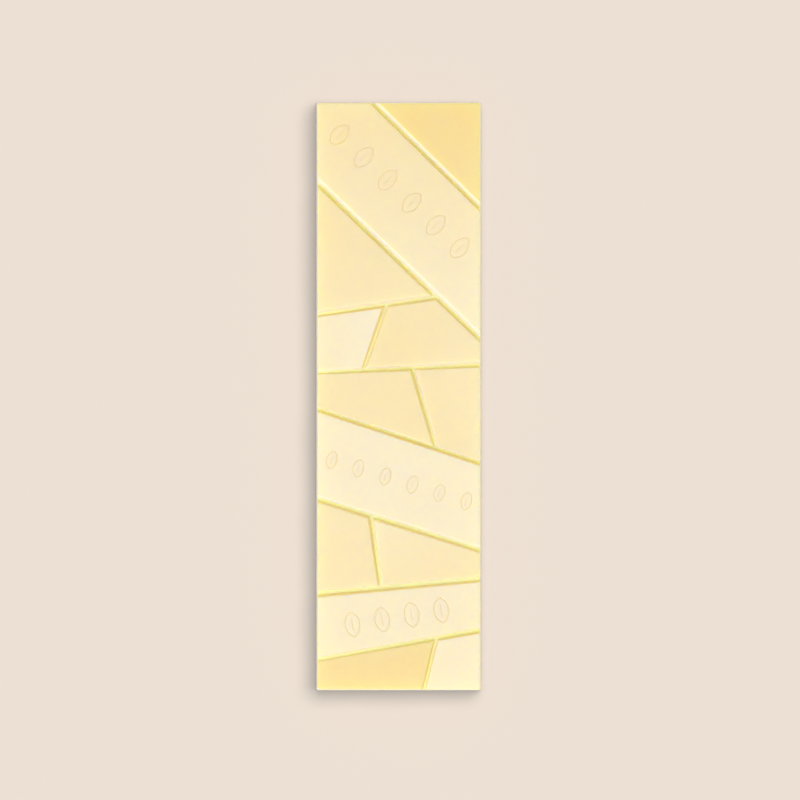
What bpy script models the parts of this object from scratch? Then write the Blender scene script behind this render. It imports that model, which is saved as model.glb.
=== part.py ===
"""A slim bar of white chocolate, moulded as a mosaic of flat, slightly tilted shards.

The bar lies on its flat poured back. X runs across the bar, Y along it and Z up.
The origin is the middle of the underside. The named sizes are in millimetres,
and MM turns them into metres.
"""
import math

import bmesh
import bpy
from mathutils import Vector

MM = 0.001

# The whole bar.
BAR_WIDTH = 45.0
BAR_LENGTH = 160.0
SIDE_DRAFT = math.radians(3.0)      # the sides lean in towards the moulded face
CORNER_RADIUS = 0.6                 # upright corners of the bar
CORNER_STEPS = 6

# The grooves have flat floors at one level. Each entry is the width of the floor, then
# how far the wall on its left and the wall on its right lean from upright, in degrees.
FLOOR_LEVEL = 7.4                   # height of every groove floor above the underside
GROOVE_PROFILES = {
    "corner": (0.52, 33, 20),
    "diagonal": (0.64, 38, 23),
    "upper": (0.68, 36, 28),
    "middle": (0.70, 32, 20),
    "above_band": (0.62, 6, 25),
    "below_band": (0.76, 40, 30),
    "lower": (1.05, 6, 28),
    "last": (0.84, 12, 20),
    "upper_split": (0.42, 36, 34),
    "middle_split": (0.54, 40, 28),
    "lower_split": (0.76, 16, 29),
    "end_split": (0.60, 18, 20),
}

# The rounded outer edges of the moulded face.
EDGE_RADIUS = 0.25
EDGE_STEPS = 2
SHARP_ANGLE = math.radians(20)

# Working stock that the bar is cut from.
SHARD_ROOT = 0.15                   # how far a shard reaches below the groove floor
OVERHANG = 3.0                      # how far stock sticks out past the bar before trimming
SHARD_STOCK_TOP = 12.0
OUTLINE_STOCK_TOP = 11.0
SLAB_STOCK_BOTTOM = -1.0

# The engraved cocoa beans: an almond outline with one crease.
BEAN_DEPTH = 0.2
BEAN_SLIMNESS = 0.62                # width of a bean over its length
BEAN_POINT = 0.25                   # how pointed the two ends are; 0 is a plain ellipse
BEAN_STEPS = 20                     # straight runs in the outline
CREASE_LENGTH = 0.5                 # length of the crease over that of the bean
CREASE_STEPS = 8
ENGRAVING_CLEARANCE = 1.0           # how far the cutter stands out of the face

HALF_WIDTH = BAR_WIDTH / 2
HALF_LENGTH = BAR_LENGTH / 2

# Every shard: the grooves around it with the side of each that it lies on, the
# height of its highest corner above the groove floor, how far its face leans in
# degrees, and the heading it leans down towards (0 is +Y, 90 is +X). Side +1 is
# to the left of a groove's own direction, so above the grooves that cross the bar.
SHARDS = {
    "top_corner": ({"corner": 1}, 1.30, 2.0, 45),
    "long_band": ({"corner": -1, "diagonal": 1}, 1.20, 0.3, 225),
    "wedge": ({"diagonal": -1, "upper": 1}, 1.30, 0.5, 190),
    "upper_left": ({"upper": -1, "upper_split": -1, "middle": 1}, 1.20, 1.8, 205),
    "upper_right": (
        {"upper": -1, "diagonal": -1, "upper_split": 1, "middle": 1}, 1.20, 0.8, 240),
    "centre_left": ({"middle": -1, "middle_split": -1, "above_band": 1}, 1.35, 2.0, 235),
    "centre_right": ({"middle": -1, "middle_split": 1, "above_band": 1}, 1.05, 1.4, 200),
    "wide_band": ({"above_band": -1, "below_band": 1}, 1.30, 2.2, 198),
    "lower_left": ({"below_band": -1, "lower_split": -1, "lower": 1}, 1.35, 1.9, 225),
    "lower_right": ({"below_band": -1, "lower_split": 1, "lower": 1}, 1.25, 2.2, 185),
    "low_band": ({"lower": -1, "last": 1}, 1.30, 2.2, 170),
    "end_left": ({"last": -1, "end_split": -1}, 1.35, 1.5, 300),
    "end_right": ({"last": -1, "end_split": 1}, 1.30, 2.2, 185),
}

# Every row of engraved beans: the shard it is on, the middles of its first and its
# last bean, how many there are, their length and the width of the engraved stroke.
BEAN_ROWS = [
    ("long_band", Vector((-16.0, 71.1)), Vector((16.6, 40.4)), 6, 6.9, 0.36),
    ("wide_band", Vector((-18.2, -17.2)), Vector((18.4, -28.3)), 6, 5.1, 0.34),
    ("low_band", Vector((-12.5, -61.7)), Vector((11.6, -57.9)), 4, 7.1, 0.46),
]


def clear_scene():
    """Remove whatever objects the scene holds."""
    for existing in list(bpy.data.objects):
        bpy.data.objects.remove(existing, do_unlink=True)


def white_chocolate():
    """The glossy cream-yellow finish of the bar."""
    material = bpy.data.materials.new("white_chocolate")
    material.use_nodes = True
    shader = material.node_tree.nodes["Principled BSDF"]
    shader.inputs["Base Color"].default_value = (0.88, 0.74, 0.40, 1.0)
    shader.inputs["Roughness"].default_value = 0.3
    shader.inputs["Metallic"].default_value = 0.0
    return material


def across(left, right):
    """A groove that crosses the whole bar, from its places along the two long sides."""
    return Vector((-HALF_WIDTH, left)), Vector((HALF_WIDTH, right))


def on_groove(groove, x):
    """The point of a crossing groove at the given place across the bar."""
    start, end = groove
    return start.lerp(end, (x - start.x) / (end.x - start.x))


def groove_lines():
    """The centre line of every groove in plan, as its two ends."""
    lines = {
        "corner": (Vector((-7.6, HALF_LENGTH)), Vector((HALF_WIDTH, 50.5))),
        "diagonal": across(58.2, 15.1),
        "upper": across(22.2, 28.8),
        "middle": across(6.5, 8.6),
        "above_band": across(-3.2, -18.1),
        "below_band": across(-27.6, -41.7),
        "lower": across(-53.4, -49.3),
        "last": across(-71.4, -63.3),
    }
    lines["upper_split"] = (on_groove(lines["upper"], -3.3), on_groove(lines["middle"], -9.7))
    lines["middle_split"] = (on_groove(lines["middle"], 3.7), on_groove(lines["above_band"], 10.1))
    lines["lower_split"] = (on_groove(lines["below_band"], -7.5), on_groove(lines["lower"], -4.8))
    lines["end_split"] = (on_groove(lines["last"], 10.2), Vector((6.7, -HALF_LENGTH)))
    return lines


def block(overhang, bottom, top):
    """A plain block over the bar's plan, between two levels, as a bmesh."""
    bm = bmesh.new()
    size = (BAR_WIDTH + 2 * overhang, BAR_LENGTH + 2 * overhang, top - bottom)
    bmesh.ops.create_cube(bm, size=MM)
    bmesh.ops.scale(bm, verts=bm.verts, vec=size)
    bmesh.ops.translate(bm, verts=bm.verts, vec=(0, 0, (top + bottom) / 2 * MM))
    return bm


def keep_below(bm, point, upward):
    """Cut a closed mesh by a plane, drop what lies on its upward side and close the cut."""
    everything = bm.verts[:] + bm.edges[:] + bm.faces[:]
    cut = bmesh.ops.bisect_plane(
        bm, geom=everything, plane_co=point * MM, plane_no=upward, clear_outer=True)
    rim = [item for item in cut["geom_cut"] if isinstance(item, bmesh.types.BMEdge)]
    if rim:
        bmesh.ops.contextual_create(bm, geom=rim)


def groove_wall(line, side, profile):
    """A point on the wall that a groove gives a shard, and the wall's outward direction."""
    floor_width, left_lean, right_lean = profile
    lean = math.radians(left_lean if side > 0 else right_lean)
    run = (line[1] - line[0]).normalized()
    towards_shard = Vector((-run.y, run.x)) * side
    foot = line[0] + towards_shard * floor_width / 2
    outward = Vector((0, 0, math.sin(lean)))
    outward.xy = -math.cos(lean) * towards_shard
    return Vector((foot.x, foot.y, FLOOR_LEVEL)), outward


def walled_stock(lines, sides, overhang):
    """Stock for one shard, cut by the walls of the grooves around it."""
    bm = block(overhang, FLOOR_LEVEL - SHARD_ROOT, SHARD_STOCK_TOP)
    for name, side in sides.items():
        point, outward = groove_wall(lines[name], side, GROOVE_PROFILES[name])
        keep_below(bm, point, outward)
    return bm


def face_plane(lines, name):
    """The highest point and the upward direction of a shard's flat, leaning face."""
    sides, rise, lean, heading = SHARDS[name]
    downhill = Vector((math.sin(math.radians(heading)), math.cos(math.radians(heading)), 0))
    upward = downhill * math.sin(math.radians(lean))
    upward.z = math.cos(math.radians(lean))
    bm = walled_stock(lines, sides, 0.0)
    peak = min((vert.co / MM for vert in bm.verts), key=lambda corner: corner.dot(downhill))
    bm.free()
    return Vector((peak.x, peak.y, FLOOR_LEVEL + rise)), upward


def shard(lines, name):
    """One shard as a closed bmesh that sticks out past the bar and below the floor."""
    bm = walled_stock(lines, SHARDS[name][0], OVERHANG)
    keep_below(bm, *face_plane(lines, name))
    bmesh.ops.recalc_face_normals(bm, faces=bm.faces)
    return bm


def outline_stock():
    """The bar's outer shape: its sides lean in upwards and its upright corners are round."""
    bm = block(0.0, 0.0, OUTLINE_STOCK_TOP)
    inset = OUTLINE_STOCK_TOP * math.tan(SIDE_DRAFT) * MM
    for vert in bm.verts:
        if vert.co.z > MM:
            vert.co.x -= math.copysign(inset, vert.co.x)
            vert.co.y -= math.copysign(inset, vert.co.y)
    uprights = [edge for edge in bm.edges if abs(edge.verts[0].co.z - edge.verts[1].co.z) > MM]
    bmesh.ops.bevel(bm, geom=uprights, offset=CORNER_RADIUS * MM, offset_type="OFFSET",
                    affect="EDGES", segments=CORNER_STEPS, profile=0.5, material=-1)
    return bm


def bean_disc(length, width, point, steps):
    """A flat almond with pointed ends, its length along Y."""
    bm = bmesh.new()
    bmesh.ops.create_circle(bm, cap_ends=True, segments=steps, radius=1.0)
    for vert in bm.verts:
        slimming = abs(vert.co.x) ** point if vert.co.x else 0.0
        vert.co.x *= slimming * width / 2
        vert.co.y *= length / 2
    return bm


def engraving(bm, middle, along, plane):
    """Raise a flat outline into a cutter that follows a face's lean, set down at its place."""
    bottom = bm.faces[:]
    raised = bmesh.ops.extrude_face_region(bm, geom=bottom)["geom"]
    top = {item for item in raised if isinstance(item, bmesh.types.BMVert)}
    side = Vector((-along.y, along.x))
    point, upward = plane
    for vert in bm.verts:
        place = middle + along * vert.co.x + side * vert.co.y
        drop = (upward.x * (place.x - point.x) + upward.y * (place.y - point.y)) / upward.z
        level = point.z - drop + (ENGRAVING_CLEARANCE if vert in top else -BEAN_DEPTH)
        vert.co = Vector((place.x, place.y, level)) * MM
    bmesh.ops.recalc_face_normals(bm, faces=bm.faces)
    return bm


def bean(middle, along, plane, length, stroke):
    """The cutters of one engraved bean: the ring of its outline, and its crease."""
    ring = bean_disc(length, length * BEAN_SLIMNESS, BEAN_POINT, BEAN_STEPS)
    disc = ring.faces[:]
    bmesh.ops.inset_region(ring, faces=disc, thickness=stroke, use_boundary=True,
                           use_even_offset=True)
    bmesh.ops.delete(ring, geom=disc, context="FACES_ONLY")
    crease = bean_disc(length * CREASE_LENGTH, stroke, 0.0, CREASE_STEPS)
    return [engraving(bm, middle, along, plane) for bm in (ring, crease)]


def bean_row(lines, name, first, last, count, length, stroke):
    """The cutters of one row of beans on the face of a shard."""
    plane = face_plane(lines, name)
    along = (last - first).normalized()
    cutters = []
    for number in range(count):
        middle = first.lerp(last, number / (count - 1))
        cutters += bean(middle, along, plane, length, stroke)
    return cutters


def joined(pieces):
    """Several separate closed bmeshes as one."""
    whole = bmesh.new()
    for piece in pieces:
        mesh = bpy.data.meshes.new("joining")
        piece.to_mesh(mesh)
        piece.free()
        whole.from_mesh(mesh)
        bpy.data.meshes.remove(mesh)
    return whole


def new_object(name, bm):
    """A named object at the origin that holds the bmesh."""
    mesh = bpy.data.meshes.new(name)
    bm.to_mesh(mesh)
    bm.free()
    created = bpy.data.objects.new(name, mesh)
    bpy.context.scene.collection.objects.link(created)
    return created


def cutter(name, bm):
    """An object that only shapes the bar."""
    created = new_object(name, bm)
    created.hide_render = True
    created.display_type = "WIRE"
    return created


def combine(target, other, operation):
    """Add a Boolean of the target with the other object."""
    boolean = target.modifiers.new(other.name, "BOOLEAN")
    boolean.operation = operation
    boolean.object = other
    boolean.solver = "EXACT"


def apply_modifiers(target):
    """Replace the target's mesh by what its modifiers make."""
    depsgraph = bpy.context.evaluated_depsgraph_get()
    made = bpy.data.meshes.new_from_object(target.evaluated_get(depsgraph))
    target.modifiers.clear()
    target.data = made


def round_edges(target):
    """Round the sharp outer edges of the moulded face, and leave the rim of the back."""
    bm = bmesh.new()
    bm.from_mesh(target.data)
    edges = [
        edge for edge in bm.edges
        if edge.is_convex
        and edge.calc_face_angle() > SHARP_ANGLE
        and max(vert.co.z for vert in edge.verts) > MM
    ]
    bmesh.ops.bevel(bm, geom=edges, offset=EDGE_RADIUS * MM, offset_type="OFFSET",
                    affect="EDGES", segments=EDGE_STEPS, profile=0.5, material=-1)
    bm.to_mesh(target.data)
    bm.free()


def build_bar():
    """Shards on a slab, trimmed to the bar's outline, rounded, then engraved."""
    lines = groove_lines()
    bar = new_object("chocolate_bar", block(OVERHANG, SLAB_STOCK_BOTTOM, FLOOR_LEVEL))
    bar.data.materials.append(white_chocolate())
    combine(bar, cutter("shards", joined([shard(lines, name) for name in SHARDS])), "UNION")
    combine(bar, cutter("outline", outline_stock()), "INTERSECT")
    apply_modifiers(bar)
    round_edges(bar)
    beans = [piece for row in BEAN_ROWS for piece in bean_row(lines, *row)]
    combine(bar, cutter("beans", joined(beans)), "DIFFERENCE")
    bar.data.shade_smooth()
    bar.data.set_sharp_from_angle(angle=SHARP_ANGLE)


clear_scene()
build_bar()
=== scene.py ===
# %% [markdown]
# # A moulded bar of white chocolate
# The bar is one piece of white chocolate, cast face down in a polished mould. Its face is a
# mosaic of thirteen flat shards that lean a little, each in its own direction, between
# narrow grooves. Its back was open to the air while it set, so it is duller and not quite
# flat.

# %% Load the fixed model
import math

import bmesh
import bpy
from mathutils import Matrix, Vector, noise


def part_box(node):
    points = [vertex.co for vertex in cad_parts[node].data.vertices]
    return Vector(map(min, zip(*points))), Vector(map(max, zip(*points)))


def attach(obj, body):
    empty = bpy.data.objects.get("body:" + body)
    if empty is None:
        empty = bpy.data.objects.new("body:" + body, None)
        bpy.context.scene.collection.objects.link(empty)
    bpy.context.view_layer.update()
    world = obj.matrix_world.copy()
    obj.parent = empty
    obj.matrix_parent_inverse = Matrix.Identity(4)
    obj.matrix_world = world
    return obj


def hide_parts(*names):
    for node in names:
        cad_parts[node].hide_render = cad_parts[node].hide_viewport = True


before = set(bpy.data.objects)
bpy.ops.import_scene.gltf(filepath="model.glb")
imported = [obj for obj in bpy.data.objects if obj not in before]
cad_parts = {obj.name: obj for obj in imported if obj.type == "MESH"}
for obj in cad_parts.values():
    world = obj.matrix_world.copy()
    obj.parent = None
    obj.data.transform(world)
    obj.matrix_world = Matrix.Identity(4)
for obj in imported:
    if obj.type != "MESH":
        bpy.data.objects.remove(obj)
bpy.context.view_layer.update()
bar_low, bar_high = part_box("chocolate_bar")
print("bar, in mm:", [round(side * 1000, 1) for side in bar_high - bar_low])

# %% [markdown]
# ## Sizes
# Blender's unit is the metre, and a bar is small, so `MM` keeps the numbers readable. The
# outline comes from the loaded model. The rest are the sizes a mould maker would name: the
# level of the groove floors, the cross-section of each groove, and how round the edges are.
# A wall that leans far from upright shows as a broad band from above, a steep one as a line.

# %% Name the sizes
MM = 0.001
HALF_WIDTH = bar_high.x
HALF_LENGTH = bar_high.y
SIDE_DRAFT = math.radians(3.0)
CORNER_RADIUS = 0.6 * MM
FLOOR_LEVEL = 7.4 * MM
GROOVE_PROFILES = {
    # width of the floor in mm, then the lean of the left and of the right wall in degrees
    "corner": (0.52, 33, 20),
    "diagonal": (0.64, 38, 23),
    "upper": (0.68, 36, 28),
    "middle": (0.70, 32, 20),
    "above_band": (0.62, 6, 25),
    "below_band": (0.76, 40, 30),
    "lower": (1.05, 6, 28),
    "last": (0.84, 12, 20),
    "upper_split": (0.42, 36, 34),
    "middle_split": (0.54, 40, 28),
    "lower_split": (0.76, 16, 29),
    "end_split": (0.60, 18, 20),
}
EDGE_RADIUS = 0.25 * MM
UP = Vector((0, 0, 1))
print("grooves are up to", round((bar_high.z - FLOOR_LEVEL) / MM, 2), "mm deep")

# %% [markdown]
# ## The plan of the grooves
# Every groove is straight, so two points give it. Most run right across the bar and need
# only their places along the two long sides. The short ones start on one crossing groove
# and end on another, which keeps the joints true when a size changes.


# %% Lay out the groove lines
def across(left, right):
    """A groove across the whole bar, from its places along the two long sides."""
    return Vector((-HALF_WIDTH, left * MM)), Vector((HALF_WIDTH, right * MM))


def on_groove(groove, x):
    """The point of a crossing groove at a place across the bar."""
    start, end = groove
    return start.lerp(end, (x * MM - start.x) / (end.x - start.x))


grooves = {
    "corner": (Vector((-7.6 * MM, HALF_LENGTH)), Vector((HALF_WIDTH, 50.5 * MM))),
    "diagonal": across(58.2, 15.1),
    "upper": across(22.2, 28.8),
    "middle": across(6.5, 8.6),
    "above_band": across(-3.2, -18.1),
    "below_band": across(-27.6, -41.7),
    "lower": across(-53.4, -49.3),
    "last": across(-71.4, -63.3),
}
grooves["upper_split"] = (on_groove(grooves["upper"], -3.3), on_groove(grooves["middle"], -9.7))
grooves["middle_split"] = (
    on_groove(grooves["middle"], 3.7), on_groove(grooves["above_band"], 10.1))
grooves["lower_split"] = (on_groove(grooves["below_band"], -7.5), on_groove(grooves["lower"], -4.8))
grooves["end_split"] = (on_groove(grooves["last"], 10.2), Vector((6.7 * MM, -HALF_LENGTH)))
print("grooves:", len(grooves))

# %% [markdown]
# ## The shards
# A shard is what its grooves leave between them. So each entry names its grooves and the
# side of each that it lies on (+1 is the left of the groove's direction, which is above a
# crossing groove). The other values tilt its face: the height of its highest corner, the
# lean in degrees and the heading it leans down towards.

# %% Describe the shards
SHARDS = {
    "top_corner": ({"corner": 1}, 1.30, 2.0, 45),
    "long_band": ({"corner": -1, "diagonal": 1}, 1.20, 0.3, 225),
    "wedge": ({"diagonal": -1, "upper": 1}, 1.30, 0.5, 190),
    "upper_left": ({"upper": -1, "upper_split": -1, "middle": 1}, 1.20, 1.8, 205),
    "upper_right": (
        {"upper": -1, "diagonal": -1, "upper_split": 1, "middle": 1}, 1.20, 0.8, 240),
    "centre_left": ({"middle": -1, "middle_split": -1, "above_band": 1}, 1.35, 2.0, 235),
    "centre_right": ({"middle": -1, "middle_split": 1, "above_band": 1}, 1.05, 1.4, 200),
    "wide_band": ({"above_band": -1, "below_band": 1}, 1.30, 2.2, 198),
    "lower_left": ({"below_band": -1, "lower_split": -1, "lower": 1}, 1.35, 1.9, 225),
    "lower_right": ({"below_band": -1, "lower_split": 1, "lower": 1}, 1.25, 2.2, 185),
    "low_band": ({"lower": -1, "last": 1}, 1.30, 2.2, 170),
    "end_left": ({"last": -1, "end_split": -1}, 1.35, 1.5, 300),
    "end_right": ({"last": -1, "end_split": 1}, 1.30, 2.2, 185),
}
print("shards:", ", ".join(SHARDS))

# %% [markdown]
# ## Cutting stock with planes
# A shard is convex, so it can be carved out of a block by one plane after another, as a
# cheese is cut. `bisect_plane` drops what lies beyond the plane and `contextual_create`
# closes the cut. The order of the cuts doesn't matter, and every corner comes out exact.


# %% Make stock and cut it
def block(overhang, bottom, top):
    """A plain block over the bar's plan, between two levels."""
    bm = bmesh.new()
    bmesh.ops.create_cube(bm, size=1.0)
    size = (2 * (HALF_WIDTH + overhang), 2 * (HALF_LENGTH + overhang), top - bottom)
    bmesh.ops.scale(bm, verts=bm.verts, vec=size)
    bmesh.ops.translate(bm, verts=bm.verts, vec=UP * (top + bottom) / 2)
    return bm


def keep_below(bm, point, upward):
    """Cut a closed mesh by a plane, drop what lies on its upward side and close the cut."""
    everything = bm.verts[:] + bm.edges[:] + bm.faces[:]
    cut = bmesh.ops.bisect_plane(
        bm, geom=everything, plane_co=point, plane_no=upward, clear_outer=True)
    rim = [item for item in cut["geom_cut"] if isinstance(item, bmesh.types.BMEdge)]
    if rim:
        bmesh.ops.contextual_create(bm, geom=rim)


def groove_wall(name, side):
    """A point on the wall that a groove gives a shard, and the wall's outward direction."""
    start, end = grooves[name]
    floor_width, left_lean, right_lean = GROOVE_PROFILES[name]
    lean = math.radians(left_lean if side > 0 else right_lean)
    run = (end - start).normalized()
    towards_shard = Vector((-run.y, run.x)) * side
    foot = start + towards_shard * floor_width * MM / 2
    outward = UP * math.sin(lean)
    outward.xy = -math.cos(lean) * towards_shard
    return foot.to_3d() + UP * FLOOR_LEVEL, outward


test = block(0.0, 0.0, 10 * MM)
keep_below(test, *groove_wall("corner", 1))
print("a block cut by one wall has", len(test.faces), "faces")
test.free()

# %% [markdown]
# ## Setting each face at its own tilt
# The face is one more plane. It passes through the corner that lies farthest uphill, at the
# height given for it, so that no tilt makes a shard stand higher than its entry says.

# %% Carve the shards
ROOT = 0.15 * MM            # how far a shard reaches below the groove floor
OVERHANG = 3.0 * MM         # how far stock sticks out past the bar before it is trimmed
STOCK_TOP = 12.0 * MM


def walled_stock(name, overhang):
    """Stock for one shard, cut by the walls of the grooves round it."""
    bm = block(overhang, FLOOR_LEVEL - ROOT, STOCK_TOP)
    for groove, side in SHARDS[name][0].items():
        keep_below(bm, *groove_wall(groove, side))
    return bm


def face_plane(name):
    """The highest point and the upward direction of a shard's flat face."""
    rise, lean, heading = SHARDS[name][1:4]
    lean, heading = math.radians(lean), math.radians(heading)
    downhill = Vector((math.sin(heading), math.cos(heading), 0))
    bm = walled_stock(name, 0.0)
    peak = min((vert.co.copy() for vert in bm.verts), key=lambda corner: corner.dot(downhill))
    bm.free()
    peak.z = FLOOR_LEVEL + rise * MM
    return peak, downhill * math.sin(lean) + UP * math.cos(lean)


planes = {name: face_plane(name) for name in SHARDS}


def add_to(whole, bm):
    """Copy one bmesh into another and free it."""
    mesh = bpy.data.meshes.new("passing_through")
    bm.to_mesh(mesh)
    bm.free()
    whole.from_mesh(mesh)
    bpy.data.meshes.remove(mesh)


shard_stock = bmesh.new()
for name in SHARDS:
    carved = walled_stock(name, OVERHANG)
    keep_below(carved, *planes[name])
    bmesh.ops.recalc_face_normals(carved, faces=carved.faces)
    add_to(shard_stock, carved)
print("carved shards, faces:", len(shard_stock.faces))

# %% [markdown]
# ## The outline
# Chocolate has to slide out of its mould, so the sides lean in towards the face. A block
# with its upper corners pulled in gives that, and `bevel` rounds the four upright edges.

# %% Make the outline
OUTLINE_TOP = 11.0 * MM
outline_stock = block(0.0, 0.0, OUTLINE_TOP)
pull = OUTLINE_TOP * math.tan(SIDE_DRAFT)
for vert in outline_stock.verts:
    if vert.co.z > FLOOR_LEVEL:
        vert.co.x -= math.copysign(pull, vert.co.x)
        vert.co.y -= math.copysign(pull, vert.co.y)
upright = [e for e in outline_stock.edges if e.verts[0].co.z * e.verts[1].co.z == 0.0
           and e.verts[0].co.z != e.verts[1].co.z]
bmesh.ops.bevel(outline_stock, geom=upright, offset=CORNER_RADIUS, offset_type="OFFSET",
                affect="EDGES", segments=8, profile=0.5, material=-1)
print("rounded upright edges:", len(upright))

# %% [markdown]
# ## One solid
# The shards stand on a slab that stops at the groove floors. Boolean modifiers join the
# two and trim the result to the outline. A union is right here because a real bar is one
# piece: shards that only stood in the slab would leave hidden faces inside it. The
# modifiers are applied at once, so that the next steps can work on the finished edges.


# %% Join and trim
def new_object(name, bm):
    """An object at the origin that holds the bmesh."""
    mesh = bpy.data.meshes.new(name)
    bm.to_mesh(mesh)
    bm.free()
    created = bpy.data.objects.new(name, mesh)
    bpy.context.scene.collection.objects.link(created)
    return created


def apply_modifiers(target):
    """Replace the target's mesh by what its modifiers make."""
    depsgraph = bpy.context.evaluated_depsgraph_get()
    made = bpy.data.meshes.new_from_object(target.evaluated_get(depsgraph))
    target.modifiers.clear()
    target.data = made


def combine(target, bm, operation):
    """Change the target by a Boolean with a closed bmesh, and leave nothing else behind."""
    other = new_object("tool", bm)
    boolean = target.modifiers.new("combine", "BOOLEAN")
    boolean.operation = operation
    boolean.object = other
    boolean.solver = "EXACT"
    apply_modifiers(target)
    bpy.data.objects.remove(other, do_unlink=True)


bar = new_object("moulded_bar", block(OVERHANG, -1.0 * MM, FLOOR_LEVEL))
combine(bar, shard_stock, "UNION")
combine(bar, outline_stock, "INTERSECT")
print("faces after joining and trimming:", len(bar.data.polygons))

# %% [markdown]
# ## Soft edges
# No moulded edge is perfectly sharp, and the thin bright lines along the shards come from
# their rounded rims. A Bevel modifier can take its width from a weight on each edge: outer
# edges get the full radius, and the inner corners of the grooves a smaller one, as where
# liquid chocolate filled the mould's own rounded ridges.

# %% Round the edges
SHARP = math.radians(20)
INNER_WEIGHT = 0.35
RIM_WEIGHT = 0.6
bm = bmesh.new()
bm.from_mesh(bar.data)
weights = bm.edges.layers.float.new("bevel_weight_edge")
for edge in bm.edges:
    if edge.calc_face_angle() > SHARP:
        on_back = max(vert.co.z for vert in edge.verts) < FLOOR_LEVEL / 2
        outer = RIM_WEIGHT if on_back else 1.0
        edge[weights] = outer if edge.is_convex else INNER_WEIGHT
bm.to_mesh(bar.data)
bm.free()
bevel = bar.modifiers.new("soft_edges", "BEVEL")
bevel.limit_method = "WEIGHT"
bevel.width = EDGE_RADIUS
bevel.segments = 4
bevel.profile = 0.5
apply_modifiers(bar)
print("faces after rounding:", len(bar.data.polygons))

# %% [markdown]
# ## Engraved cocoa beans
# Three bands carry a row of small engraved beans. The outline starts as a circle, pressed
# to an almond. `inset_region` turns it into a ring as wide as the stroke, `extrude` gives
# the ring its height, and a bevel rounds what will be the bottom of the engraved line. The
# ring is then sheared to the lean of the face, so that the line is equally deep all round.

# %% Cut the beans
BEAN_SLIMNESS = 0.62
BEAN_POINT = 0.25
BEAN_STEPS = 48
CREASE_LENGTH = 0.5
CREASE_STEPS = 16
ENGRAVED_DEPTH = 0.2 * MM
CUTTER_HEIGHT = 1.0 * MM
BEAN_ROWS = [
    # shard, middle of the first bean, middle of the last, how many, length, stroke
    ("long_band", (-16.0, 71.1), (16.6, 40.4), 6, 6.9, 0.36),
    ("wide_band", (-18.2, -17.2), (18.4, -28.3), 6, 5.1, 0.34),
    ("low_band", (-12.5, -61.7), (11.6, -57.9), 4, 7.1, 0.46),
]


def almond(length, width, point, steps):
    """A flat almond with its length along Y."""
    bm = bmesh.new()
    bmesh.ops.create_circle(bm, cap_ends=True, segments=steps, radius=1.0)
    for vert in bm.verts:
        vert.co.x *= abs(vert.co.x) ** point * width / 2 if vert.co.x else 0.0
        vert.co.y *= length / 2
    return bm


def raise_and_place(bm, shard, middle, along, rounding):
    """Turn a flat outline into a cutter with a round bottom, set into a shard's face."""
    raised = bmesh.ops.extrude_face_region(bm, geom=bm.faces[:])["geom"]
    top = {item for item in raised if isinstance(item, bmesh.types.BMVert)}
    bmesh.ops.translate(bm, verts=list(top), vec=UP * CUTTER_HEIGHT)
    bmesh.ops.recalc_face_normals(bm, faces=bm.faces)
    foot = [edge for edge in bm.edges
            if not any(vert in top for vert in edge.verts) and edge.calc_face_angle() > SHARP]
    bmesh.ops.bevel(bm, geom=foot, offset=rounding, offset_type="OFFSET",
                    affect="EDGES", segments=3, profile=0.5, material=-1)
    point, upward = planes[shard]
    side = Vector((-along.y, along.x))
    for vert in bm.verts:
        place = middle + along * vert.co.x + side * vert.co.y
        drop = (place - point.xy).dot(upward.xy) / upward.z
        vert.co = place.to_3d() + UP * (vert.co.z + point.z - drop - ENGRAVED_DEPTH)
    return bm


def add_bean(whole, shard, middle, along, length, stroke):
    """Add the cutters of one bean: the ring of its outline, and its crease."""
    ring = almond(length, length * BEAN_SLIMNESS, BEAN_POINT, BEAN_STEPS)
    disc = ring.faces[:]
    bmesh.ops.inset_region(ring, faces=disc, thickness=stroke, use_boundary=True,
                           use_even_offset=True)
    bmesh.ops.delete(ring, geom=disc, context="FACES_ONLY")
    crease = almond(length * CREASE_LENGTH, stroke, 0.0, CREASE_STEPS)
    add_to(whole, raise_and_place(ring, shard, middle, along, stroke * 0.4))
    add_to(whole, raise_and_place(crease, shard, middle, along, stroke * 0.1))


bean_cutters = bmesh.new()
for shard, first, last, count, length, stroke in BEAN_ROWS:
    first, last = Vector(first) * MM, Vector(last) * MM
    for number in range(count):
        middle = first.lerp(last, number / (count - 1))
        add_bean(bean_cutters, shard, middle, (last - first).normalized(), length * MM,
                 stroke * MM)
combine(bar, bean_cutters, "DIFFERENCE")
print("faces after engraving:", len(bar.data.polygons))

# %% [markdown]
# ## The poured back
# The back set in the open, so it has low, uneven ripples inside a level rim. Flat faces
# can't ripple: `inset_region` keeps the rim, `bisect_plane` cuts the rest into a grid, and
# each point is pressed up into the bar by a smooth noise that fades out towards the rim.
# Pressing inwards only keeps the rim as the part that the bar rests on.

# %% Ripple the back
GRID = 1.5 * MM
RIPPLE_DEPTH = 0.22 * MM
RIPPLE_SIZE = 9.0 * MM
RIPPLE_OCTAVES = 3
LEAST_RIPPLE = 0.25         # part of the depth that every point is pressed in by
RIM = 0.8 * MM
FADE = 3.0 * MM
ON_THE_BACK = 0.01 * MM     # points lower than this belong to the back


def back_faces(bm, inside):
    """The faces of the flat back that lie at least some way in from the outline."""
    return [face for face in bm.faces
            if face.normal.z < -0.999
            and abs(face.calc_center_median().x) < HALF_WIDTH - inside
            and abs(face.calc_center_median().y) < HALF_LENGTH - inside]


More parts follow.
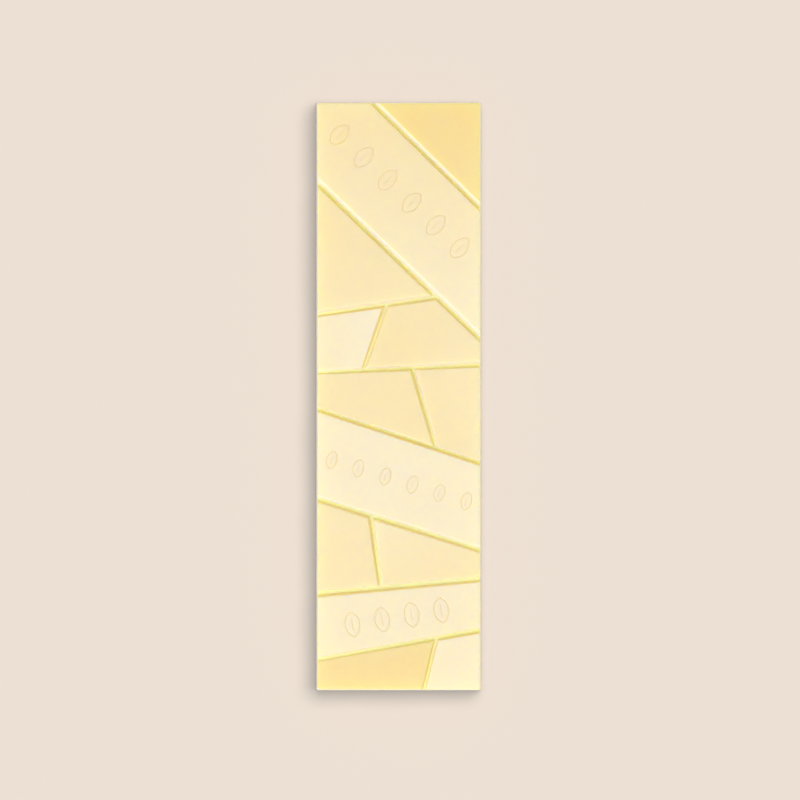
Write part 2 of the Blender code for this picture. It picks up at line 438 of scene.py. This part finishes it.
bm = bmesh.new()
bm.from_mesh(bar.data)
bmesh.ops.inset_region(bm, faces=back_faces(bm, 0.0), thickness=RIM, use_boundary=True,
                       use_even_offset=True)
for axis, half in ((Vector((1, 0, 0)), HALF_WIDTH), (Vector((0, 1, 0)), HALF_LENGTH)):
    count = int(2 * (half - RIM) / GRID)
    for number in range(count + 1):
        faces = back_faces(bm, RIM)
        geom = list({part for face in faces for part in (*face.verts, *face.edges)}) + faces
        place = axis * (number - count / 2) * GRID
        bmesh.ops.bisect_plane(bm, geom=geom, plane_co=place, plane_no=axis)
rippled = 0
for vert in bm.verts:
    from_rim = min(HALF_WIDTH - abs(vert.co.x), HALF_LENGTH - abs(vert.co.y)) - 1.5 * RIM
    if vert.co.z < ON_THE_BACK and from_rim > 0:
        fade = min(1.0, from_rim / FADE) ** 2
        wave = noise.fractal(vert.co / RIPPLE_SIZE, 1.0, 2.0, RIPPLE_OCTAVES)
        vert.co.z += RIPPLE_DEPTH * fade * min(1.0, abs(wave) + LEAST_RIPPLE)
        rippled += 1
bmesh.ops.recalc_face_normals(bm, faces=bm.faces)
bm.to_mesh(bar.data)
bm.free()
print("points pressed in on the back:", rippled)

# %% [markdown]
# ## Painting colour and light on the mesh
# The face is coloured between deep butter yellow and pale cream. Each shard has a tone, from 0
# for the deepest yellow to 1 for the palest cream, and some change a little from side to side.
# The differences are painted light: a paler shard stands for more of the softbox mirrored in
# a face that leans towards it, and a change along a shard for light falling off across it.
# The grooves have painted light of their own: the golden glow of light bounced about in a
# groove and its shade are painted onto the floors, and the walls are painted pale where they
# face the front left, towards the low sun, and a deeper yellow where they face away. The outer
# sides and the back share one pale cream, painted a little paler than the palest face, which
# brightens the narrow sides.

# %% Choose the tones
# Painted light: the tones below paint the softbox's reflection, paler on shards that lean towards
# it, and the per-millimetre changes paint light falling off across a shard.
TONES = {
    # shard: tone in its middle, then the change per millimetre to the right and up the bar
    "top_corner": (0.00, 0.0, -0.004),
    "long_band": (0.66, 0.0, -0.0095),
    "wedge": (0.55, 0.0, -0.006),
    "upper_left": (0.97, 0.018, 0.0),
    "upper_right": (0.57, 0.006, 0.0),
    "centre_left": (0.52, 0.0, 0.0),
    "centre_right": (0.61, 0.009, 0.0),
    "wide_band": (1.00, 0.0, 0.0),
    "lower_left": (0.57, 0.0, 0.0),
    "lower_right": (0.60, -0.0037, 0.015),
    "low_band": (0.95, 0.0, 0.0),
    "end_left": (0.10, 0.0, 0.0),
    "end_right": (0.96, 0.0, 0.0),
}
DEEP_BUTTER = Vector((0.868, 0.684, 0.318))
PALE_CREAM = Vector((0.878, 0.775, 0.562))
# OUTER_SIDES is the chocolate's cream painted a little paler than the palest face, which brightens
# the narrow sides.
OUTER_SIDES = Vector((0.890, 0.800, 0.610))
# Painted light: GROOVE_FLOOR paints the golden glow of light bounced about a groove, and its shade,
# onto the floors.
GROOVE_FLOOR = Vector((0.990, 0.900, 0.450))
# Painted light: LIT_WALL is a painted highlight and SHADED_WALL painted shade. A wall's colour goes
# from one to the other as it turns to FRONT_LEFT, towards the low sun.
LIT_WALL = Vector((0.900, 0.775, 0.600))
SHADED_WALL = Vector((0.880, 0.715, 0.330))
FRONT_LEFT = Vector((-0.62, -0.79, 0.0))
PAINTED_LIGHT_CONTRAST = 1.2         # how fast a wall goes pale as it turns to the front left
print("palest shard:", max(TONES, key=lambda name: TONES[name][0]))

# %% [markdown]
# ## Storing the colours
# Every face gets its colour by where it is and which way it faces, so that walls get their
# painted light. The colours are stored on the corners of the faces, as an attribute that the
# material reads. A tone that changes along a shard is worked out at each corner, and the
# renderer blends it in between. Two material slots keep the polished face apart from the
# dull back.


# %% Store the colours
def shard_at(place):
    """The name of the shard over a place in the plan."""
    for name, entry in SHARDS.items():
        inside = True
        for groove, side in entry[0].items():
            start, end = grooves[groove]
            inside = inside and (end - start).cross(place.xy - start) * side > 0
        if inside:
            return name
    return None


def shard_middle(name):
    """The middle of a shard's plan."""
    bm = walled_stock(name, 0.0)
    middle = sum((vert.co for vert in bm.verts), Vector()) / len(bm.verts)
    bm.free()
    return middle


def colour_of(face, place, shard):
    """The colour of a face of the moulded side, at one of its corners."""
    level = face.calc_center_median().z - FLOOR_LEVEL
    # Painted light: a shard face takes its painted tone, with the painted falloff across it.
    if shard and level > LOWEST_FACE and face.normal.z > FLAT:
        tone, rightward, upward = TONES[shard]
        offset = (place - middles[shard]) / MM
        return DEEP_BUTTER.lerp(PALE_CREAM, tone + rightward * offset.x + upward * offset.y)
    # Outer sides and back: the cream, painted a little paler to brighten the sides.
    if level < HIGHEST_SIDE:
        return OUTER_SIDES
    # Groove floors: the painted golden glow and shade of bounced light.
    if face.normal.z > FLAT:
        return GROOVE_FLOOR
    # Groove walls: painted pale when turned towards the low sun at the front left, painted a deeper
    # shaded yellow when turned away.
    turned = PAINTED_LIGHT_CONTRAST * face.normal.dot(FRONT_LEFT)
    return SHADED_WALL.lerp(LIT_WALL, min(1.0, max(0.0, turned)))


FLAT = math.cos(math.radians(30))
LOWEST_FACE = 0.25 * MM     # shard faces lie at least this far above the groove floors
HIGHEST_SIDE = -0.1 * MM    # and the outer sides at least this far below them
BACK_EDGE = 0.6 * MM
middles = {name: shard_middle(name) for name in SHARDS}
bm = bmesh.new()
bm.from_mesh(bar.data)
tints = bm.loops.layers.float_color.new("tint")
back_count = 0
for face in bm.faces:
    middle = face.calc_center_median()
    on_back = middle.z < BACK_EDGE and face.normal.z < -0.5
    shard = shard_at(middle)
    face.material_index = int(on_back)
    back_count += on_back
    for loop in face.loops:
        loop[tints] = colour_of(face, loop.vert.co, shard).to_4d()
bm.to_mesh(bar.data)
bm.free()
print("faces on the back:", back_count)

# %% [markdown]
# ## Effects that both finishes share
# Two node groups do what both finishes need. `milk_mottle` is the faint cloudiness of milk
# fat in set chocolate, a mask between 0 and 1. `skin_grain` is the height of the very fine
# unevenness of the skin. A group is built once and placed in each material with its own
# values, so the two finishes stay related.


# %% Build the node groups
def new_group(name, inputs, outputs):
    """An empty shader node group with float inputs and outputs, and its two end nodes."""
    group = bpy.data.node_groups.new(name, "ShaderNodeTree")
    for label, value in inputs.items():
        socket = group.interface.new_socket(label, in_out="INPUT", socket_type="NodeSocketFloat")
        socket.default_value = value
    for label in outputs:
        group.interface.new_socket(label, in_out="OUTPUT", socket_type="NodeSocketFloat")
    return group, group.nodes.new("NodeGroupInput"), group.nodes.new("NodeGroupOutput")


def object_noise(group, detail):
    """A noise texture that reads Object coordinates."""
    coordinates = group.nodes.new("ShaderNodeTexCoord")
    texture = group.nodes.new("ShaderNodeTexNoise")
    texture.inputs["Detail"].default_value = detail
    group.links.new(coordinates.outputs["Object"], texture.inputs["Vector"])
    return texture


milk_mottle, start, end = new_group("milk_mottle", {"Scale": 90.0, "Contrast": 1.0}, ["Mask"])
clouds = object_noise(milk_mottle, 3.0)
spread = milk_mottle.nodes.new("ShaderNodeMath")
spread.operation = "MULTIPLY_ADD"
centred = milk_mottle.nodes.new("ShaderNodeMath")
centred.operation = "SUBTRACT"
centred.inputs[1].default_value = 0.5
milk_mottle.links.new(start.outputs["Scale"], clouds.inputs["Scale"])
milk_mottle.links.new(clouds.outputs["Fac"], centred.inputs[0])
milk_mottle.links.new(centred.outputs[0], spread.inputs[0])
milk_mottle.links.new(start.outputs["Contrast"], spread.inputs[1])
spread.inputs[2].default_value = 0.5
milk_mottle.links.new(spread.outputs[0], end.inputs["Mask"])

skin_grain, start, end = new_group("skin_grain", {"Scale": 1500.0, "Pits": 0.0}, ["Height"])
grain = object_noise(skin_grain, 2.0)
pits = skin_grain.nodes.new("ShaderNodeTexVoronoi")
coordinates = skin_grain.nodes.new("ShaderNodeTexCoord")
pits.inputs["Scale"].default_value = 330.0
pit_shape = skin_grain.nodes.new("ShaderNodeMapRange")
pit_shape.inputs["From Min"].default_value = 0.0
pit_shape.inputs["From Max"].default_value = 0.22
pit_shape.inputs["To Min"].default_value = -1.0
pit_shape.inputs["To Max"].default_value = 0.0
pit_depth = skin_grain.nodes.new("ShaderNodeMath")
pit_depth.operation = "MULTIPLY_ADD"
skin_grain.links.new(start.outputs["Scale"], grain.inputs["Scale"])
skin_grain.links.new(coordinates.outputs["Object"], pits.inputs["Vector"])
skin_grain.links.new(pits.outputs["Distance"], pit_shape.inputs["Value"])
skin_grain.links.new(pit_shape.outputs["Result"], pit_depth.inputs[0])
skin_grain.links.new(start.outputs["Pits"], pit_depth.inputs[1])
skin_grain.links.new(grain.outputs["Fac"], pit_depth.inputs[2])
skin_grain.links.new(pit_depth.outputs[0], end.inputs["Height"])
print("node groups:", [group.name for group in bpy.data.node_groups])

# %% [markdown]
# ## White chocolate
# White chocolate is cocoa butter, milk and sugar: a warm cream that light enters a little
# way, so shaded corners glow yellow instead of going grey. The Principled BSDF's subsurface
# does that, with red reaching farthest. The skin that touched the mould is glossy, and the
# poured back is dull, a little paler and pitted by small bubbles.


# %% Make the two finishes
TRANSLUCENCY = 0.85
REACH = 8.0 * MM                    # how far red light travels inside
REACH_BY_COLOUR = (1.0, 0.85, 0.1)
RICHNESS_CHANGE = 0.06              # how much the cloudiness changes the saturation
GRAIN_HEIGHT = 0.05 * MM


def chocolate(name, roughness, gloss_change, bump, grain_scale, pit_depth):
    """A chocolate finish. Its colour comes from the mesh."""
    material = bpy.data.materials.new(name)
    material.use_nodes = True
    nodes, links = material.node_tree.nodes, material.node_tree.links
    shader = nodes["Principled BSDF"]
    shader.inputs["Metallic"].default_value = 0.0
    shader.inputs["IOR"].default_value = 1.45
    shader.inputs["Subsurface Weight"].default_value = TRANSLUCENCY
    shader.inputs["Subsurface Radius"].default_value = REACH_BY_COLOUR
    shader.inputs["Subsurface Scale"].default_value = REACH

    mottle = nodes.new("ShaderNodeGroup")
    mottle.node_tree = milk_mottle
    mottle.inputs["Scale"].default_value = 90.0
    mottle.inputs["Contrast"].default_value = 1.0
    stored = nodes.new("ShaderNodeAttribute")
    stored.attribute_name = "tint"
    richness = nodes.new("ShaderNodeMapRange")
    richness.inputs["To Min"].default_value = 1.0 - RICHNESS_CHANGE
    richness.inputs["To Max"].default_value = 1.0 + RICHNESS_CHANGE
    clouded = nodes.new("ShaderNodeHueSaturation")
    links.new(mottle.outputs["Mask"], richness.inputs["Value"])
    links.new(richness.outputs["Result"], clouded.inputs["Saturation"])
    links.new(stored.outputs["Color"], clouded.inputs["Color"])
    links.new(clouded.outputs["Color"], shader.inputs["Base Color"])

    gloss = nodes.new("ShaderNodeMapRange")
    gloss.inputs["To Min"].default_value = roughness - gloss_change
    gloss.inputs["To Max"].default_value = roughness + gloss_change
    links.new(mottle.outputs["Mask"], gloss.inputs["Value"])
    links.new(gloss.outputs["Result"], shader.inputs["Roughness"])

    grain = nodes.new("ShaderNodeGroup")
    grain.node_tree = skin_grain
    grain.inputs["Scale"].default_value = grain_scale
    grain.inputs["Pits"].default_value = pit_depth
    relief = nodes.new("ShaderNodeBump")
    relief.inputs["Strength"].default_value = bump
    relief.inputs["Distance"].default_value = GRAIN_HEIGHT
    links.new(grain.outputs["Height"], relief.inputs["Height"])
    links.new(relief.outputs["Normal"], shader.inputs["Normal"])
    return material


moulded_gloss = chocolate("moulded_gloss", 0.30, 0.05, 0.08, 1500.0, 0.0)
poured_back = chocolate("poured_back", 0.52, 0.08, 0.35, 900.0, 0.8)
bar.data.materials.append(moulded_gloss)
bar.data.materials.append(poured_back)
print("finishes:", moulded_gloss.name, poured_back.name)

# %% [markdown]
# ## Smooth shading that keeps the faces flat
# Smooth shading across a bevel would bend the light on the big flat faces. Weighted normals
# let the large faces win, so only the rounded rims turn the light.

# %% Shade the bar and hand it to the frame
bar.data.shade_smooth()
weighted = bar.modifiers.new("flat_faces", "WEIGHTED_NORMAL")
weighted.mode = "FACE_AREA"
weighted.weight = 100
weighted.keep_sharp = True
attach(bar, "root")
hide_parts("chocolate_bar")
print("triangles:", sum(len(face.vertices) - 2 for face in bar.data.polygons))

# %% [markdown]
# ## The floor
# The bar lies on a plain warm grey sheet that reaches far past the view. The camera and
# mirror-like rays see part of its colour as an even glow, which no lamp or shadow changes.
# Rays that carry light from the sheet to the bar don't see it, so that it can't light the
# bar from below. The rest is an ordinary surface that takes the bar's shadow, a little
# cooler in the glow than in the lamp's light.

# %% Lay the floor
FLOOR_COLOUR = (0.839, 0.745, 0.658, 1.0)
LIT_SHARE = (0.338, 0.321, 0.304)    # of the red, green and blue: what its lamp acts on
EVEN_SHARE = (0.099, 0.143, 0.190)   # what shows evenly everywhere
bm = bmesh.new()
bmesh.ops.create_grid(bm, x_segments=1, y_segments=1, size=2.0)
bmesh.ops.translate(bm, verts=bm.verts, vec=UP * -0.02 * MM)
floor = new_object("floor", bm)


def background_rays(nodes, links):
    """1 for the rays that should see the plain background, 0 for those that carry light."""
    rays = nodes.new("ShaderNodeLightPath")
    seen = nodes.new("ShaderNodeMath")
    seen.operation = "MAXIMUM"
    seen_through = nodes.new("ShaderNodeMath")
    seen_through.operation = "MAXIMUM"
    links.new(rays.outputs["Is Camera Ray"], seen.inputs[0])
    links.new(rays.outputs["Is Glossy Ray"], seen.inputs[1])
    links.new(seen.outputs[0], seen_through.inputs[0])
    links.new(rays.outputs["Is Transmission Ray"], seen_through.inputs[1])
    return seen_through.outputs[0]


def shared(colour, share):
    """A share of each of a colour's three values."""
    return [part * amount for part, amount in zip(colour, share)] + [1.0]


sheet = bpy.data.materials.new("sheet")
sheet.use_nodes = True
nodes, links = sheet.node_tree.nodes, sheet.node_tree.links
shader = nodes["Principled BSDF"]
shader.inputs["Base Color"].default_value = shared(FLOOR_COLOUR, LIT_SHARE)
shader.inputs["Roughness"].default_value = 0.9
shader.inputs["Specular IOR Level"].default_value = 0.0
shader.inputs["Emission Color"].default_value = shared(FLOOR_COLOUR, EVEN_SHARE)
links.new(background_rays(nodes, links), shader.inputs["Emission Strength"])
floor.data.materials.append(sheet)
print("floor, in metres:", [round(side, 2) for side in floor.dimensions])

# %% [markdown]
# ## Light
# A low, soft sun from the front left rakes over the bar: walls that face it shine, and
# walls that face away keep only the light that bounces in the groove. A grazing sun from
# the other side makes up for the light that a pale table would throw on the far edges. A
# high sun at the back right lights only the floor, and gives the bar its soft shadow there.
# Light linking keeps them apart. A softbox overhead is what the glossy faces mirror.


# %% Place the lamps
def towards(heading, elevation):
    """The direction of a lamp, from its compass heading and its height above the horizon."""
    heading, elevation = math.radians(heading), math.radians(elevation)
    flat = Vector((math.sin(heading), math.cos(heading), 0)) * math.cos(elevation)
    return flat + UP * math.sin(elevation)


def lamp(name, kind, direction, distance, power, receiver):
    """A lamp that shines on one object only."""
    light = bpy.data.lights.new(name, kind)
    light.energy = power
    placed = bpy.data.objects.new(name, light)
    placed.location = direction * distance
    placed.rotation_euler = direction.to_track_quat("Z", "Y").to_euler()
    bpy.context.scene.collection.objects.link(placed)
    only = bpy.data.collections.new(name + "_lights")
    only.objects.link(receiver)
    placed.light_linking.receiver_collection = only
    return light


low_sun = lamp("low_sun", "SUN", towards(218, 45), 1.0, 2.2, bar)
low_sun.angle = math.radians(25)
edge_sun = lamp("edge_sun", "SUN", towards(50, 7), 1.0, 0.8, bar)
edge_sun.angle = math.radians(10)
softbox = lamp("softbox", "AREA", towards(190, 72), 1.2, 0.8, bar)
softbox.shape = "RECTANGLE"
softbox.size = 0.5
softbox.size_y = 0.35
shadow_sun = lamp("shadow_sun", "SUN", towards(46, 72), 1.0, 7.0, floor)
shadow_sun.angle = math.radians(50)

AMBIENT = 0.55
world = bpy.data.worlds.new("room")
bpy.context.scene.world = world
world.use_nodes = True
nodes, links = world.node_tree.nodes, world.node_tree.links
backdrop = nodes["Background"]
backdrop.inputs["Color"].default_value = FLOOR_COLOUR
ambient = nodes.new("ShaderNodeBackground")
ambient.inputs["Color"].default_value = (1.0, 1.0, 1.0, 1.0)
ambient.inputs["Strength"].default_value = AMBIENT
choose = nodes.new("ShaderNodeMixShader")
links.new(background_rays(nodes, links), choose.inputs["Fac"])
links.new(ambient.outputs[0], choose.inputs[1])
links.new(backdrop.outputs[0], choose.inputs[2])
links.new(choose.outputs[0], nodes["World Output"].inputs["Surface"])
bpy.context.scene.view_settings.view_transform = "Standard"
print("lamps:", [light.name for light in bpy.data.lights])

# %% [markdown]
# ## The camera
# The view is straight down. A long lens from far away keeps the bar's upright sides out of
# sight, as a product picture does.

# %% Place the camera
VIEW_WIDTH = 217.65 * MM
VIEW_DISTANCE = 3.0
SENSOR = 36.0
camera_data = bpy.data.cameras.new("camera")
camera_data.sensor_width = SENSOR
camera_data.lens = SENSOR * VIEW_DISTANCE / VIEW_WIDTH
camera_data.clip_end = 20.0
camera = bpy.data.objects.new("camera", camera_data)
camera.location = (0.31 * MM, -0.97 * MM, VIEW_DISTANCE)
bpy.context.scene.collection.objects.link(camera)
bpy.context.scene.camera = camera
print("lens, in mm:", round(camera_data.lens, 1))
